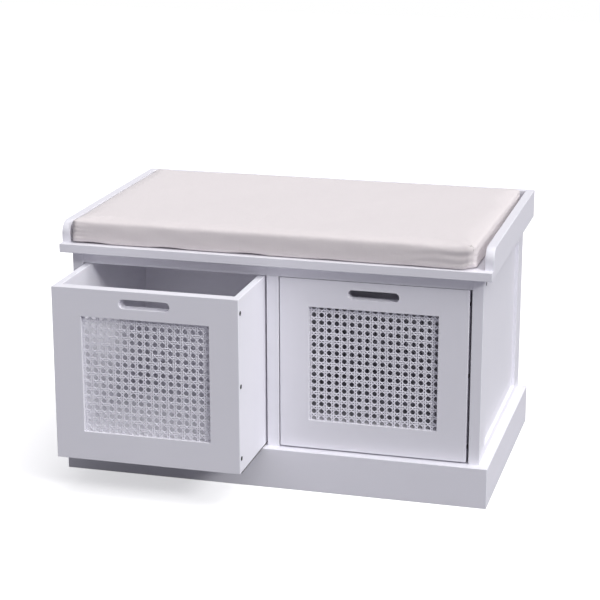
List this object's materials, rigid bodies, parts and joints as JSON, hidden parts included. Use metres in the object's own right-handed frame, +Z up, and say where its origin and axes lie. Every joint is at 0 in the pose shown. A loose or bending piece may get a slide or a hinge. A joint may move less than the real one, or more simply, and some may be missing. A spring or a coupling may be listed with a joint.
{
  "type": "entryway storage bench",
  "caption": "Low storage bench with a loose seat cushion, low arm and back rails, and cane-fronted pull-out boxes on a plinth.",
  "frame": {"origin": "centre of the plinth's footprint, on the floor", "axes": "+X is the bench's length from left to right as seen from the front, -Y is the front where the drawers pull out, +Z is up"},
  "size_m": [0.75, 0.601, 0.455],
  "materials": {
    "paint": "satin cool-white paint on smooth board",
    "hardboard": "plain hardboard",
    "raw_wood": "unpainted softwood",
    "cane": "woven cane painted cool white",
    "dark_screw": "black oxide",
    "felt": "pressed felt",
    "cover_fabric": "plain-woven cotton and linen, off-white",
    "foam": "open-cell foam",
    "zip": "nylon coil"
  },
  "bodies": {
    "carcass": {"left_front_stile": "paint", "left_back_stile": "paint", "left_top_rail": "paint", "left_bottom_rail": "paint", "left_panel": "paint", "right_front_stile": "paint", "right_back_stile": "paint", "right_top_rail": "paint", "right_bottom_rail": "paint", "right_panel": "paint", "centre_divider": "paint", "bottom_board": "paint", "back_panel": "hardboard", "front_stretcher": "paint", "back_stretcher": "paint", "plinth_front": "paint", "plinth_left": "paint", "plinth_right": "paint", "plinth_back": "paint", "centre_support": "raw_wood", "glue_blocks": "raw_wood", "seat_board": "paint", "left_arm_rail": "paint", "right_arm_rail": "paint", "back_rail": "paint", "frame_dowels": "raw_wood", "bottom_dowels": "raw_wood", "case_screws": "dark_screw", "seat_screws": "dark_screw", "rail_screws": "dark_screw", "plinth_screws": "dark_screw", "back_panel_pins": "dark_screw"},
    "left_drawer": {"left_drawer_front": "paint", "left_drawer_left_side": "paint", "left_drawer_right_side": "paint", "left_drawer_back": "paint", "left_drawer_bottom": "paint", "left_drawer_cane": "cane", "left_drawer_beading": "paint", "left_drawer_screws": "dark_screw", "left_drawer_glides": "felt"},
    "right_drawer": {"right_drawer_front": "paint", "right_drawer_left_side": "paint", "right_drawer_right_side": "paint", "right_drawer_back": "paint", "right_drawer_bottom": "paint", "right_drawer_cane": "cane", "right_drawer_beading": "paint", "right_drawer_screws": "dark_screw", "right_drawer_glides": "felt"},
    "cushion": {"cushion_cover": "cover_fabric", "cushion_foam": "foam", "cushion_zip": "zip"}
  },
  "joints": [
    {"name": "left_drawer_slide", "type": "slide", "parent": "carcass", "child": "left_drawer", "axis": [0, -1, 0], "range_m": [-0.151, 0.229]},
    {"name": "right_drawer_slide", "type": "slide", "parent": "carcass", "child": "right_drawer", "axis": [0, -1, 0], "range_m": [0, 0.38]},
    {"name": "cushion_lift", "type": "slide", "parent": "carcass", "child": "cushion", "axis": [0, 0, 1], "range_m": [0, 0.15]}
  ]
}
